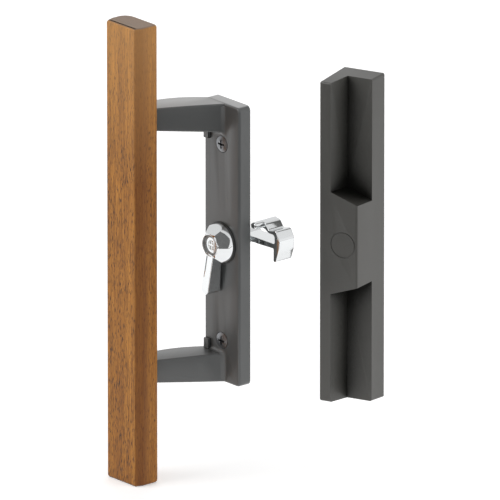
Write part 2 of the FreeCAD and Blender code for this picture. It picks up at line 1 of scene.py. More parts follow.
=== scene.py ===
import json
import math

import bmesh
import bpy
import numpy as np
from bpy.props import FloatProperty, PointerProperty, StringProperty
from mathutils import Matrix, Vector

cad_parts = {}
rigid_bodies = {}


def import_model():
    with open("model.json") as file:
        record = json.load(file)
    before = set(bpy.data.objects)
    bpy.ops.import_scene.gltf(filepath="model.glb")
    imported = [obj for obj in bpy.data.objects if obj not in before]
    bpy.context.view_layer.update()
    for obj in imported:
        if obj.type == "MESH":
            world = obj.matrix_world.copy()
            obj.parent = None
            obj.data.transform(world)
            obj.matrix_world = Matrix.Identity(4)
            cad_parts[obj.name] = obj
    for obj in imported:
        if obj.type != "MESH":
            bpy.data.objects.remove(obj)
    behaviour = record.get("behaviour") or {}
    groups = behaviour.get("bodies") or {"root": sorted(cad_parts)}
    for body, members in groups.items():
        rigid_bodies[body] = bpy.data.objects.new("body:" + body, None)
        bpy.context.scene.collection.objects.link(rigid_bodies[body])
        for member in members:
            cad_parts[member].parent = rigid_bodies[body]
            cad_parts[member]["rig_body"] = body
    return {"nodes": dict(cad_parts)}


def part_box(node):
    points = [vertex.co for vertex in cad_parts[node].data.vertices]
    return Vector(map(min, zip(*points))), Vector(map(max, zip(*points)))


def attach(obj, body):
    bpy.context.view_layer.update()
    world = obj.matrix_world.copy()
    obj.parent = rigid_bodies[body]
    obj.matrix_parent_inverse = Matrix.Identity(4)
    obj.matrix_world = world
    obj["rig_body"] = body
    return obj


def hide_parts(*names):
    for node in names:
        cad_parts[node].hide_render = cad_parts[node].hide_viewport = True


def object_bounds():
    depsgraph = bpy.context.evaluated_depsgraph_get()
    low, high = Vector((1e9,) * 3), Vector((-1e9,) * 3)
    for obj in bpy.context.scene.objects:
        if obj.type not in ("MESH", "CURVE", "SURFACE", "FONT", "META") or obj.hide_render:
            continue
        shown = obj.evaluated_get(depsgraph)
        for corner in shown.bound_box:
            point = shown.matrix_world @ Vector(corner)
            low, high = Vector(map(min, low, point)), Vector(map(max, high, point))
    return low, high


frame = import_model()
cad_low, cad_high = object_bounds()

bl_info = {
    "name": "Sliding Patio Door Handle",
    "version": (1, 0, 0),
    "blender": (4, 5, 0),
    "location": "View3D > Sidebar > Patio Handle",
    "description": "Builds the surfaces and finishes of a two-sided patio door handle round its fixed frame",
    "category": "Object",
}

MM = 0.001
# Millimetres from the door's face to the front of the bracket's plate.
PLATE_FRONT = 7.0


def linear(code):
    """Linear colour with alpha for an sRGB hex value such as #a0b1c2."""
    channels = [int(code[start:start + 2], 16) / 255 for start in (1, 3, 5)]
    return [c / 12.92 if c <= 0.04045 else ((c + 0.055) / 1.055) ** 2.4 for c in channels] + [1.0]


# Node and material helpers


def add_node(tree, kind, inputs=None, **settings):
    """Add a node, set its properties, and give each named or numbered input a value or a link."""
    made = tree.nodes.new(kind)
    for key, value in settings.items():
        setattr(made, key, value)
    for key, value in (inputs or {}).items():
        if isinstance(value, bpy.types.NodeSocket):
            tree.links.new(value, made.inputs[key])
        else:
            made.inputs[key].default_value = value
    return made


def new_finish(name):
    """An empty node material with its output, and the object coordinates that its patterns read."""
    material = bpy.data.materials.new(name)
    material.use_nodes = True
    tree = material.node_tree
    tree.nodes.clear()
    output = tree.nodes.new("ShaderNodeOutputMaterial")
    place = tree.nodes.new("ShaderNodeTexCoord").outputs["Object"]
    return material, tree, output, place


def surface(tree, output, inputs):
    """The shader that every finish ends with."""
    shader = add_node(tree, "ShaderNodeBsdfPrincipled", inputs)
    tree.links.new(shader.outputs[0], output.inputs["Surface"])


def per_metre(grain_mm):
    """Texture scale at which one feature is about this many millimetres wide."""
    return 1000 / grain_mm


def cast_paint(name, colour, dark, roughness, hollow_mm, gloss_most, painted_top_light):
    """Zinc die casting in baked satin enamel: a very fine orange peel softens its wide highlights.

    The coat is glossiest in the open, by gloss_most, and dull in hollows narrower than hollow_mm, which are
    also painted in shade; painted_top_light is how far a painted highlight pales the upper faces.
    """
    material, tree, output, place = new_finish(name)
    cloud = add_node(tree, "ShaderNodeTexNoise", {"Vector": place, "Scale": per_metre(18), "Detail": 3})
    tone = add_node(tree, "ShaderNodeMix", {"Factor": cloud.outputs["Fac"], "A": linear(dark),
                                            "B": linear(colour)}, data_type="RGBA")
    # Painted highlight: faces that look upwards pale towards light grey, the more the higher they stand.
    normal = add_node(tree, "ShaderNodeNewGeometry").outputs["Normal"]
    facing = add_node(tree, "ShaderNodeSeparateXYZ", {0: normal})
    upward = add_node(tree, "ShaderNodeMapRange", {"Value": facing.outputs["Z"], "From Min": 0.85,
                                                   "From Max": 0.97, "To Max": painted_top_light})
    level = add_node(tree, "ShaderNodeSeparateXYZ", {0: place}).outputs["Z"]
    height = add_node(tree, "ShaderNodeMapRange", {"Value": level, "From Max": 60 * MM})
    pale = add_node(tree, "ShaderNodeMath", {0: upward.outputs[0], 1: height.outputs[0]},
                    operation="MULTIPLY")
    tone = add_node(tree, "ShaderNodeMix", {"Factor": pale.outputs[0], "A": tone.outputs["Result"],
                                            "B": linear("#bcbcbc")}, data_type="RGBA")
    # Painted shade: deep inside the recesses, above and below the middle, the coat is darkened nearly to
    # black.
    open_air = add_node(tree, "ShaderNodeAmbientOcclusion", {"Distance": hollow_mm * MM}, samples=8)
    hollow = add_node(tree, "ShaderNodeMapRange", {"Value": open_air.outputs["AO"], "From Min": 0.62,
                                                   "From Max": 0.96})
    off_middle = add_node(tree, "ShaderNodeMath", {0: level}, operation="ABSOLUTE")
    ends = add_node(tree, "ShaderNodeMapRange", {"Value": off_middle.outputs[0], "From Min": 14 * MM,
                                                 "From Max": 22 * MM})
    hollow = add_node(tree, "ShaderNodeMix", {"Factor": ends.outputs[0], "A": 1.0, "B": hollow.outputs[0]})
    shaded = add_node(tree, "ShaderNodeMix", {"Factor": hollow.outputs[0], "A": linear("#0d0d0b"),
                                              "B": tone.outputs["Result"]}, data_type="RGBA")
    gloss = add_node(tree, "ShaderNodeMapRange", {"Value": hollow.outputs[0], "To Min": 0.05,
                                                  "To Max": gloss_most})
    # The coat's own texture is too fine to show, so its grains are drawn half a millimetre wide.
    peel = add_node(tree, "ShaderNodeTexNoise", {"Vector": place, "Scale": per_metre(0.5), "Detail": 2})
    bump = add_node(tree, "ShaderNodeBump", {"Height": peel.outputs["Fac"], "Strength": 0.12,
                                             "Distance": 0.02 * MM})
    spread = add_node(tree, "ShaderNodeMapRange", {"Value": peel.outputs["Fac"], "To Min": roughness - 0.05,
                                                   "To Max": roughness + 0.05})
    surface(tree, output, {"Base Color": shaded.outputs["Result"], "Roughness": spread.outputs["Result"],
                           "IOR": 1.55, "Specular IOR Level": gloss.outputs[0],
                           "Coat Weight": gloss.outputs[0], "Coat Roughness": 0.3,
                           "Normal": bump.outputs["Normal"]})
    return material


def oiled_hardwood():
    """Oiled open-pored hardwood, planed along the grain: long fine streaks and short dark pores."""
    material, tree, output, place = new_finish("oiled_hardwood")
    values = bpy.context.scene.patio_grip
    # Grain runs along Z, so every pattern is squeezed in that direction.
    along = add_node(tree, "ShaderNodeMapping", {"Vector": place, "Scale": (1, 1, 0.035)})
    bend = add_node(tree, "ShaderNodeTexNoise", {"Vector": place, "Scale": per_metre(55), "Detail": 1})
    sway = add_node(tree, "ShaderNodeVectorMath", {0: bend.outputs["Color"], "Scale": 1.6 * MM},
                    operation="SCALE")
    grain_place = add_node(tree, "ShaderNodeVectorMath", {0: along.outputs[0], 1: sway.outputs[0]})
    bands = add_node(tree, "ShaderNodeTexNoise", {"Vector": grain_place.outputs[0], "Scale": per_metre(5),
                                                  "Detail": 3, "Roughness": 0.55})
    streaks = add_node(tree, "ShaderNodeTexNoise", {"Vector": grain_place.outputs[0],
                                                    "Scale": per_metre(0.55), "Detail": 4, "Roughness": 0.7})
    band_tone = add_node(tree, "ShaderNodeMapRange", {"Value": bands.outputs["Fac"], "From Min": 0.35,
                                                      "From Max": 0.65})
    warm = add_node(tree, "ShaderNodeMix", {"Factor": band_tone.outputs[0], "A": linear(values.heart),
                                            "B": linear(values.pale)}, data_type="RGBA")
    streak_tone = add_node(tree, "ShaderNodeMapRange", {"Value": streaks.outputs["Fac"], "From Min": 0.42,
                                                        "From Max": 0.62, "To Max": 0.75})
    streaked = add_node(tree, "ShaderNodeMix", {"Factor": streak_tone.outputs[0], "A": warm.outputs["Result"],
                                                "B": linear(values.streak)}, data_type="RGBA")
    # Pores are about 0.3 mm across and 2 to 3 mm long, and crowd together in some years' growth.
    pore_place = add_node(tree, "ShaderNodeMapping", {"Vector": place, "Scale": (1, 1, 0.13)})
    pores = add_node(tree, "ShaderNodeTexNoise", {"Vector": pore_place.outputs[0], "Scale": per_metre(0.34),
                                                  "Detail": 1, "Roughness": 0.4})
    crowd = add_node(tree, "ShaderNodeMapRange", {"Value": bands.outputs["Fac"], "From Min": 0.35,
                                                  "From Max": 0.65, "To Min": 0.53, "To Max": 0.61})
    over = add_node(tree, "ShaderNodeMath", {0: pores.outputs["Fac"], 1: crowd.outputs[0]},
                    operation="SUBTRACT")
    pore_mask = add_node(tree, "ShaderNodeMapRange", {"Value": over.outputs[0], "From Min": 0.0,
                                                      "From Max": 0.09})
    wood = add_node(tree, "ShaderNodeMix", {"Factor": pore_mask.outputs[0], "A": streaked.outputs["Result"],
                                            "B": linear(values.pore)}, data_type="RGBA")
    # Painted shade: the bar's right side is darkened, deepest beside the front edge, and its top is paler.
    low, high = map(np.array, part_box("grip_bar"))
    edge_at = (low[0] + high[0]) / 2 + values.front_width / 2
    spot = add_node(tree, "ShaderNodeSeparateXYZ", {0: place})
    beyond = add_node(tree, "ShaderNodeMapRange", {"Value": spot.outputs["X"], "From Min": edge_at - 0.7 * MM,
                                                   "From Max": edge_at + 0.3 * MM})
    depth = add_node(tree, "ShaderNodeMapRange", {"Value": spot.outputs["Y"], "From Min": low[1] + 5 * MM,
                                                  "From Max": high[1] - 6 * MM, "To Min": 0.75,
                                                  "To Max": 0.3})
    painted_shade = add_node(tree, "ShaderNodeMath", {0: beyond.outputs[0], 1: depth.outputs[0]},
                         operation="MULTIPLY")
    sided = add_node(tree, "ShaderNodeMix", {"Factor": painted_shade.outputs[0], "A": wood.outputs["Result"],
                                             "B": linear(values.side)}, data_type="RGBA")
    paler = add_node(tree, "ShaderNodeMapRange", {"Value": spot.outputs["Z"], "From Min": 0.3 * high[2],
                                                  "From Max": high[2], "To Max": 0.45})
    toned = add_node(tree, "ShaderNodeMix", {"Factor": paler.outputs[0], "A": sided.outputs["Result"],
                                             "B": linear(values.top_tone)}, data_type="RGBA")
    # Across the ends the cut fibres are drawn greyer.
    normal = add_node(tree, "ShaderNodeNewGeometry").outputs["Normal"]
    facing = add_node(tree, "ShaderNodeSeparateXYZ", {0: normal})
    upright = add_node(tree, "ShaderNodeMath", {0: facing.outputs["Z"]}, operation="ABSOLUTE")
    end_mask = add_node(tree, "ShaderNodeMapRange", {"Value": upright.outputs[0], "From Min": 0.6,
                                                     "From Max": 0.95, "To Max": 0.8})
    ended = add_node(tree, "ShaderNodeMix", {"Factor": end_mask.outputs[0], "A": toned.outputs["Result"],
                                             "B": linear(values.end)}, data_type="RGBA")
    relief = add_node(tree, "ShaderNodeMath", {0: streaks.outputs["Fac"], 1: pore_mask.outputs[0]},
                      operation="SUBTRACT")
    bump = add_node(tree, "ShaderNodeBump", {"Height": relief.outputs[0], "Strength": 0.35,
                                             "Distance": 0.08 * MM})
    surface(tree, output, {"Base Color": ended.outputs["Result"], "Roughness": 0.5, "IOR": 1.5,
                           "Specular IOR Level": 0.3, "Normal": bump.outputs["Normal"]})
    return material


def chrome_plate(colour):
    """Bright chromium plate over a polished casting: a mirror, with a faint polishing haze."""
    material, tree, output, place = new_finish("bright_chrome_plate")
    haze = add_node(tree, "ShaderNodeTexNoise", {"Vector": place, "Scale": per_metre(1.6), "Detail": 3})
    blur = add_node(tree, "ShaderNodeMapRange", {"Value": haze.outputs["Fac"], "To Min": 0.04,
                                                 "To Max": 0.12})
    ripple = add_node(tree, "ShaderNodeBump", {"Height": haze.outputs["Fac"], "Strength": 0.15,
                                               "Distance": 0.05 * MM})
    surface(tree, output, {"Base Color": linear(colour), "Metallic": 1.0, "Roughness": blur.outputs[0],
                           "Normal": ripple.outputs["Normal"]})
    return material


def steel(name, colour, roughness):
    """Headed and thread-rolled steel under a thin plated coat, slightly mottled."""
    material, tree, output, place = new_finish(name)
    mottle = add_node(tree, "ShaderNodeTexNoise", {"Vector": place, "Scale": per_metre(0.9), "Detail": 2})
    blur = add_node(tree, "ShaderNodeMapRange", {"Value": mottle.outputs["Fac"], "To Min": roughness - 0.08,
                                                 "To Max": roughness + 0.08})
    surface(tree, output, {"Base Color": linear(colour), "Metallic": 1.0, "Roughness": blur.outputs[0]})
    return material


def moulded_nylon():
    """Black injection-moulded nylon: matt with a soft sheen."""
    material, tree, output, place = new_finish("moulded_nylon")
    grain = add_node(tree, "ShaderNodeTexNoise", {"Vector": place, "Scale": per_metre(0.3), "Detail": 2})
    bump = add_node(tree, "ShaderNodeBump", {"Height": grain.outputs["Fac"], "Strength": 0.1,
                                             "Distance": 0.02 * MM})
    surface(tree, output, {"Base Color": linear("#232424"), "Roughness": 0.38, "IOR": 1.53,
                           "Normal": bump.outputs["Normal"]})
    return material


def background_rays(tree):
    """Two switches: one for the rays that see a white background, and one for those of them off metal."""
    seen = add_node(tree, "ShaderNodeLightPath").outputs
    shown = add_node(tree, "ShaderNodeMath", {0: seen["Is Camera Ray"], 1: seen["Is Glossy Ray"]},
                     operation="MAXIMUM")
    clear = add_node(tree, "ShaderNodeMath", {0: shown.outputs[0], 1: seen["Is Transmission Ray"]},
                     operation="MAXIMUM")
    return clear.outputs[0], seen["Is Glossy Ray"]


def studio_floor():
    """Matt white floor that lifts to white for the camera and in reflections, and keeps the shadow."""
    material, tree, output, place = new_finish("white_floor")
    white_seen, glossy = background_rays(tree)
    lift = add_node(tree, "ShaderNodeMath", {0: white_seen, 1: 0.35}, operation="MULTIPLY")
    matt = add_node(tree, "ShaderNodeBsdfDiffuse", {"Color": linear("#f4f4f4")})
    glow = add_node(tree, "ShaderNodeEmission", {"Color": (1, 1, 1, 1), "Strength": lift.outputs[0]})
    both = add_node(tree, "ShaderNodeAddShader", {0: matt.outputs[0], 1: glow.outputs[0]})
    tree.links.new(both.outputs[0], output.inputs["Surface"])
    return material


def grey_card():
    """Matt grey paper that only reflections show."""
    material, tree, output, place = new_finish("grey_card")
    paper = add_node(tree, "ShaderNodeBsdfDiffuse", {"Color": linear("#767676")})
    tree.links.new(paper.outputs[0], output.inputs["Surface"])
    return material


def dress(name, material):
    """Give a frame node its finish."""
    mesh = frame["nodes"][name].data
    mesh.materials.clear()
    mesh.materials.append(material)


# Surfaces


def rounded_loop(corners, radii, steps=6):
    """Closed outline with rounded corners.

    At each corner an arc of the given radius leaves one side and joins the next; its centre lies on the
    bisector, one radius from both sides, and its points are the centre plus the radius times the cosine and
    sine of an angle that runs evenly from one side to the other. Also returns the outward normal at each
    point. Leading axes, such as stations along a sweep, are carried through.
    """
    corners = np.asarray(corners, float)
    radii = np.broadcast_to(np.asarray(radii, float), corners.shape[:-1])[..., None]
    back = np.roll(corners, 1, -2) - corners
    ahead = np.roll(corners, -1, -2) - corners
    back /= np.linalg.norm(back, axis=-1, keepdims=True)
    ahead /= np.linalg.norm(ahead, axis=-1, keepdims=True)
    half = np.arccos(np.clip((back * ahead).sum(-1, keepdims=True), -1, 1)) / 2
    bisector = back + ahead
    bisector /= np.linalg.norm(bisector, axis=-1, keepdims=True)
    centre = corners + bisector * radii / np.sin(half)
    start = corners + back * radii / np.tan(half) - centre
    end = corners + ahead * radii / np.tan(half) - centre
    first = np.arctan2(start[..., 1], start[..., 0])
    sweep = (np.arctan2(end[..., 1], end[..., 0]) - first + np.pi) % (2 * np.pi) - np.pi
    angle = first[..., None] + sweep[..., None] * np.linspace(0, 1, steps)
    spoke = np.stack([np.cos(angle), np.sin(angle)], -1)
    points = centre[..., None, :] + radii[..., None] * spoke
    # Corners are listed anticlockwise, so an arc that turns clockwise is a hollow one.
    normals = spoke * np.where(sweep < 0, -1, 1)[..., None, None]
    shape = corners.shape[:-2] + (corners.shape[-2] * steps, 2)
    return points.reshape(shape), normals.reshape(shape)


def prism(corners, radii, low, high, rim, place, steps=6):
    """An outline carried straight from one level to another, with both rims rounded over.

    Ring k moves inwards by rim times (1 minus the cosine) and up by rim times (1 minus the sine) of the same
    angle, so that the wall turns through a quarter circle into the flat end.
    """
    points, normals = rounded_loop(corners, radii, steps)
    turn = np.radians(np.linspace(0, 90, 5))
    inset = rim * (1 - np.sin(turn))
    lift = rim * (1 - np.cos(turn))
    insets = np.concatenate([inset, inset[::-1]])
    levels = np.concatenate([low + lift, high - lift[::-1]])
    rings = points - insets[:, None, None] * normals
    return place(rings[..., 0], rings[..., 1], levels[:, None] + np.zeros(rings.shape[1]))


def lathe(profile, place, steps=64):
    """A profile turned about an axis: radius r at level h gives (r cos a, r sin a, h), a going all round."""
    turn = np.linspace(0, 2 * np.pi, steps, endpoint=False)
    radii, levels = np.array(profile, float).T[:, :, None]
    return place(radii * np.cos(turn), radii * np.sin(turn), levels + 0 * turn)


def facing_user(across, up, forward):
    """Levels run towards the person inside, from the face that lies on the door."""
    return np.stack([across, -forward, up], -1)


def facing_plate(across, up, forward):
    """Levels run towards the person inside, from the plate's front."""
    return facing_user(across, up, forward + PLATE_FRONT)


def facing_door(across, up, inward):
    """Levels run into the door, from the face that the plate lies on."""
    return np.stack([across, inward, up], -1)


def along_grip(across, inward, up):
    """Levels run up along the grip."""
    return np.stack([across, inward, up], -1)


def shell_piece(name, shells, material, node):
    """One object of closed shells, each a grid of rings.

    The first and last ring are closed flat, or joined to each other where they are the same ring.
    """
    points, faces, start = [], [], 0
    for rings in shells:
        looped = np.allclose(rings[0], rings[-1])
        rings = rings[:-1] if looped else rings
        rows, columns = rings.shape[:2]
        index = start + np.arange(rows * columns).reshape(rows, columns)
        low = index if looped else index[:-1]
        high = np.roll(index, -1, 0) if looped else index[1:]
        quads = np.stack([low, np.roll(low, -1, 1), np.roll(high, -1, 1), high], -1).reshape(-1, 4)
        faces += quads.tolist()
        if not looped:
            faces += [index[0, ::-1].tolist(), index[-1].tolist()]
        points.append(rings.reshape(-1, 3))
        start += rows * columns
    mesh = bpy.data.meshes.new(name)
    mesh.from_pydata((np.concatenate(points) * MM).tolist(), [], faces)
    piece = finish_piece(name, mesh, material, node)
    flats = piece.modifiers.new("flats", "WEIGHTED_NORMAL")
    flats.keep_sharp = True
    return piece


def finish_piece(name, mesh, material, node, crease=28):
    """Turn a closed mesh's faces outwards, shade it smooth up to a crease, and let it stand for its node.

    A piece that stands for no node turns with the thumb turn.
    """
    solid = bmesh.new()
    solid.from_mesh(mesh)
    bmesh.ops.recalc_face_normals(solid, faces=solid.faces)
    solid.to_mesh(mesh)
    solid.free()
    mesh.shade_smooth()
    mesh.set_sharp_from_angle(angle=math.radians(crease))
    mesh.materials.clear()
    mesh.materials.append(material)
    piece = bpy.data.objects.new(name, mesh)
    bpy.context.scene.collection.objects.link(piece)
    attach(piece, frame["nodes"][node]["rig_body"] if node else "turn")
    if node:
        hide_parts(node)
    return piece


def cast_copy(node, name, material, edge):
    """A merged copy of a casting's node, with its sharp edges broken as a cast and coated edge is."""
    mesh = frame["nodes"][node].data.copy()
    mesh.name = name
    solid = bmesh.new()
    solid.from_mesh(mesh)
    bmesh.ops.remove_doubles(solid, verts=solid.verts, dist=0.002 * MM)
    bmesh.ops.dissolve_limit(solid, angle_limit=math.radians(1), verts=solid.verts, edges=solid.edges)
    solid.to_mesh(mesh)
    solid.free()
    piece = finish_piece(name, mesh, material, node)
    softened = piece.modifiers.new("edges", "BEVEL")
    softened.width = edge
    softened.segments = 3
    softened.limit_method = "ANGLE"
    softened.angle_limit = math.radians(35)
    softened.harden_normals = True
    softened.use_clamp_overlap = True
    return piece


def flat_sheet(name, centre, side, rise, material):
    """A sheet of the stage: one flat face that reaches a side and a rise each way from its centre."""
    mesh = bpy.data.meshes.new(name)
    mesh.from_pydata([centre - side - rise, centre + side - rise, centre + side + rise, centre - side + rise],
                     [], [(0, 1, 2, 3)])
    mesh.materials.append(material)
    sheet = bpy.data.objects.new(name, mesh)
    bpy.context.scene.collection.objects.link(sheet)
    return sheet


def grip_shell():
    """The grip: its section carried straight up, with rounded ends.

    The section is a flat front, sides that flare from it to the bar's full width, and well-rounded corners on
    the finger side behind.
    """
    values = bpy.context.scene.patio_grip
    low, high = (np.array(corner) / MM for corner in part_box("grip_bar"))
    flare = 4.0
    narrow = (high[0] - low[0] - values.front_width / MM) / 2
    corners = [(low[0] + narrow, low[1]), (high[0] - narrow, low[1]), (high[0], low[1] + flare),
               (high[0], high[1]), (low[0], high[1]), (low[0], low[1] + flare)]
    roundings = [0.5, 0.5, 3.0, 2.4, 6.0, 3.0]
    return prism(corners, roundings, low[2], high[2], values.end_rounding / MM, along_grip, steps=8)


def knob_shell():
    """The thumb turn's head: a turned knob with six flats cut over it.

    At height h the flats lie at distance f = neck + flare (front - h) from the axis, so at angle a from a
    flat's middle they cut the radius to f / cos a; the turned body's own radius is b. Both are joined by
    (b^-p + (f / cos a)^-p)^(-1/p), which follows the smaller one and softens the edge between them; the
    sharper the edge, the larger p. Past the front rim the profile turns inwards, round, down into the well
    round the screw.
    """
    flats, neck, flare, front, sharpness = 6, 5.5, 0.74, 7.8, 36.0
    turn = np.linspace(0, 2 * np.pi, 180, endpoint=False)
    off_middle = turn % (2 * np.pi / flats) - np.pi / flats
    height = np.concatenate([[0.95, 1.0, 1.15], np.linspace(1.3, 7.45, 40)])[:, None]
    body = np.concatenate([[9.4, 9.75, 9.88], np.linspace(9.9, 9.3, 40)])[:, None]
    flat = (neck + flare * (front - height)) / np.cos(off_middle)
    radius = (body ** -sharpness + flat ** -sharpness) ** (-1 / sharpness)
    well = np.array([(5.78, 7.62), (5.62, 7.74), (5.5, 7.78), (5.4, 7.78), (5.3, 7.74), (5.25, 7.6),
                     (5.25, 7.2), (5.25, 6.65), (5.2, 6.6)])
    radius = np.concatenate([radius, well[:, :1] + 0 * turn])
    height = np.concatenate([height + 0 * turn, well[:, 1:] + 0 * turn])
    return facing_plate(radius * np.cos(turn), radius * np.sin(turn), height)


def lever_shell():
    """The lever: a rounded bar that hangs from the knob and thickens forwards, its tip a half round.

    Its half width is even from the knob down, and past the tip's centre it follows the circle of the tip. Its
    front rises evenly by the growth from the knob to the tip, and tilts by that share of each millimetre
    across. A narrow vee groove along its left third fades evenly to nothing at about two thirds of the way
    down. Its back is level as far as the bend and slopes from there towards the plate.
    """
    start, length, half, tip = 4.6, bpy.context.scene.patio_lock.lever_length / MM, 3.0, 2.6
    root, thick, growth, tilt = 4.7, 7.3, 1.3, 0.087
    bend, back_level, slope = 12, 1.6, 1.1
    groove_left, groove_middle, groove_right = -1.95, -1.6, -1.25
    groove_deep, groove_long, sharp = 0.6, 13.5, 0.04
    lean = math.radians(7.6)
    centre = length - tip
    down = np.concatenate([np.linspace(start, centre, 26),
                           centre + tip * np.sin(np.radians(np.linspace(8, 86, 9)))])
    past = np.clip((down - centre) / tip, 0, 1)
    side = half - tip + tip * np.sqrt(1 - past ** 2)
    edge = np.minimum(0.5, 0.3 * side)
    front = thick + growth * (down - root) / (length - root) - 0.5 * past ** 3
    groove = groove_deep * np.clip(1 - (down - start) / groove_long, 0, 1) + 0.002
    back = back_level - slope * np.clip((down - bend) / (length - bend), 0, 1) + 0.3 * past ** 3
    spread = side / half
    corners = np.stack([
        np.stack([-side, back], -1), np.stack([side, back], -1), np.stack([side, front], -1),
        np.stack([groove_right * spread, front], -1), np.stack([groove_middle * spread, front - groove], -1),
        np.stack([groove_left * spread, front], -1), np.stack([-side, front], -1)], -2)
    corners[:, 2:, 1] += tilt * corners[:, 2:, 0]
    crisp = sharp * spread
    radii = np.stack([edge, edge, edge * 0.5, crisp, crisp, crisp, edge * 0.5], -1)
    points = rounded_loop(corners, radii, 4)[0]
    across, forward = points[..., 0], points[..., 1]
    fall = -down[:, None] + 0 * across
    return facing_plate(across * math.cos(lean) + fall * math.sin(lean),
                        fall * math.cos(lean) - across * math.sin(lean), forward)


def gap_shade_ring_shell():
    """The dull washer that the turn's screw bears on: a turned flat ring with both edges just broken."""
    # Painted shade: this dull grey ring stands for the dark gap round the screw head in the knob's well.
    return lathe([(3.95, 6.55), (5.1, 6.55), (5.2, 6.6), (5.2, 6.95), (5.05, 7.05), (4.1, 7.05), (3.95, 6.95),
                  (3.95, 6.55)], facing_plate)


def hook_shells():
    """The latch hook: a turned hub and collar, a tapered arm with a blade that curls over, and a side tongue.

    The arm and blade are one outline in the plane of the door's face, carried straight into the door, and the
    tongue is a second outline that starts nearer the plate and runs into the blade's bead. Each corner gives
    its place across, its height and its rounding. The hub is a profile turned about the thumb turn's axis.
    """
    blade = np.array([
        (0, -0.9, 0.3), (23.6, 0.0, 0.4), (23.6, -6.2, 0.4), (24.6, -6.8, 0.5), (25.8, -6.0, 1.0),
        (27.7, -0.6, 8.0), (28.2, 4.8, 4.0), (25.4, 9.5, 1.6), (20.2, 8.3, 1.4), (17.7, 11.5, 2.6),
        (14.0, 12.2, 1.0), (12.4, 11.3, 0.7), (12.6, 8.9, 0.5), (17.0, 8.5, 1.0), (20.2, 6.9, 1.0),
        (24.3, 7.0, 1.4), (24.4, 3.1, 0.3), (23.4, 2.5, 0.3), (0, 2.5, 0.3)])
    tongue = [(12.6, 8.9), (16.4, 8.6), (16.4, 11.8), (14.0, 12.2), (12.4, 11.3)]
    blade_near, blade_far, tongue_near, tongue_far = 5.5, 15.2, 0.3, 10.0
    hub = [(3.1, 16.0), (3.3, 15.95), (3.4, 15.7), (3.4, 7.0), (5.2, 7.0), (5.5, 6.7), (5.5, 3.4), (8.0, 3.4),
           (8.2, 3.2), (8.2, 1.8), (8.0, 1.6), (5.5, 1.6), (5.5, -7.4), (5.4, -7.7), (5.0, -7.75)]
    return [prism(blade[:, :2], blade[:, 2], blade_near, blade_far, 0.35, facing_door, 5),
            prism(tongue, 1.2, tongue_near, tongue_far, 1.0, facing_door, 4), lathe(hub, facing_door)]


# Properties


class PatioCastingSettings(bpy.types.PropertyGroup):
    colour: StringProperty(name="Enamel", description="Colour of the castings' enamel, as a hex value",
                           default="#4a4c4c")
    colour_dark: StringProperty(name="Enamel shade", description="Darker tone that clouds the enamel",
                                default="#434545")
    pull_colour: StringProperty(name="Pull enamel", description="Colour of the outside pull, as a hex value",
                                default="#42413d")
    pull_dark: StringProperty(name="Pull shade", description="Darker tone that clouds the pull's enamel",
                              default="#3c3b37")
    roughness: FloatProperty(name="Roughness", description="How dull the enamel is", default=0.42, min=0.05,
                             max=1.0, subtype="FACTOR")
    bracket_edge: FloatProperty(name="Bracket edge", description="Width of the bracket's broken edges",
                                default=0.4 * MM, min=0, unit="LENGTH")
    pull_edge: FloatProperty(name="Pull edge", description="Width of the outside pull's broken edges",
                             default=0.5 * MM, min=0, unit="LENGTH")


class PatioGripSettings(bpy.types.PropertyGroup):
    front_width: FloatProperty(name="Front width", description="Width of the grip's flat front",
                               default=20.6 * MM, min=0, unit="LENGTH")
    end_rounding: FloatProperty(name="End rounding", description="Radius of the edges round the sawn ends",
                                default=1.5 * MM, min=0, unit="LENGTH")
    pale: StringProperty(name="Pale wood", description="Colour of the pale bands, as a hex value",
                         default="#c68739")
    heart: StringProperty(name="Heart wood", description="Colour of the darker bands, as a hex value",
                          default="#a56a28")
    streak: StringProperty(name="Streaks", description="Colour of the fine grain lines, as a hex value",
                           default="#74451c")
    pore: StringProperty(name="Pores", description="Colour of the open pores, as a hex value",
                         default="#44291a")
    # Painted shade: the colour that darkens the grip's right side.
    side: StringProperty(name="Side wood", description="Colour of the right side's heartwood, as a hex value",
                         default="#70401b")
    top_tone: StringProperty(name="Top wood", description="Colour that the wood's top pales to, as a hex value",
                        default="#cf9c62")
    end: StringProperty(name="End grain", description="Colour of the sawn ends, as a hex value",
                        default="#766d66")


class PatioLockSettings(bpy.types.PropertyGroup):
    lever_length: FloatProperty(name="Lever length", description="Distance from the turn's axis to the tip",
                                default=25.6 * MM, min=18 * MM, unit="LENGTH")
    chrome: StringProperty(name="Chrome", description="Colour of the bright plating, as a hex value",
                           default="#e7e9ea")
    # Painted shade: the washer's dull grey stands for the dark gap round the turn's screw.
    washer: StringProperty(name="Washer", description="Colour of the dull washer in the knob, as a hex value",
                           default="#949697")


class PatioFastenerSettings(bpy.types.PropertyGroup):
    grey: StringProperty(name="Grey zinc", description="Colour of the bolts and grip screws, as a hex value",
                         default="#85878a")
    bright: StringProperty(name="Bright zinc", description="Colour of the turn's screw and washer",
                           default="#d9dbdb")


class PatioStageSettings(bpy.types.PropertyGroup):
    azimuth: FloatProperty(name="Azimuth", description="Turn of the camera about the handle, from its front",
                           default=math.radians(49.5), subtype="ANGLE")
    elevation: FloatProperty(name="Elevation", description="Height of the camera above the horizon",
                             default=math.radians(18.5), subtype="ANGLE")
    distance: FloatProperty(name="Distance", description="Distance from the camera to the plate", default=9.0,
                            unit="LENGTH")
    frame_width: FloatProperty(name="Frame width", description="Width of what the camera sees at the plate",
                               default=0.24155, unit="LENGTH")
    shift_right: FloatProperty(name="Aim right", description="How far right of the turn the camera aims",
                               default=0.013623, unit="LENGTH")
    shift_down: FloatProperty(name="Aim down", description="How far below the turn the camera aims",
                              default=0.003671, unit="LENGTH")
    sky: FloatProperty(name="Sky", description="Strength of the even light from all round", default=0.42,
                       min=0)
    key: FloatProperty(name="Key lamp", description="Power of the large lamp at the left", default=8.8, min=0)


# Operators


